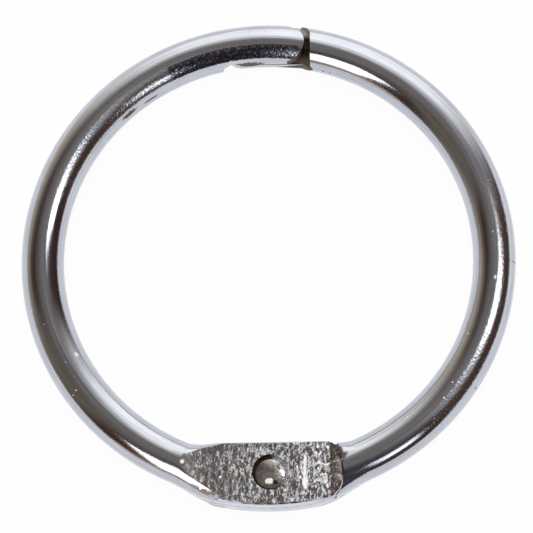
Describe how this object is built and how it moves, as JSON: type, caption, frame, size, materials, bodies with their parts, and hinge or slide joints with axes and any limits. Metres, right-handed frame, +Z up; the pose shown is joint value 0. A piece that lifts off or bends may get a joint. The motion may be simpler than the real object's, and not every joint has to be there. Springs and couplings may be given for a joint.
{
  "type": "binder ring",
  "caption": "Hinged loose-leaf ring of plated round wire with a riveted flat hinge and a snap-together lapped closure.",
  "frame": {"origin": "centre of the closed ring, on the surface that the ring lies on", "axes": "+Z up out of that surface, -Y towards the hinge, +Y towards the closure, +X towards the half with the lower blade"},
  "size_m": [0.0302, 0.0306, 0.0026],
  "materials": {
    "plated_wire": "bright nickel plate on drawn steel wire, finely brushed on the pressed flats",
    "plated_rivet": "bright nickel plate, polished dome"
  },
  "bodies": {
    "right": {"right_half": "plated_wire", "hinge_rivet": "plated_rivet"},
    "left": {"left_half": "plated_wire"}
  },
  "joints": [
    {"name": "ring_hinge", "type": "hinge", "parent": "right", "child": "left", "pos_m": [0, -0.01356, 0.0013], "axis": [0, 0, 1], "range_deg": [0, 140]}
  ]
}
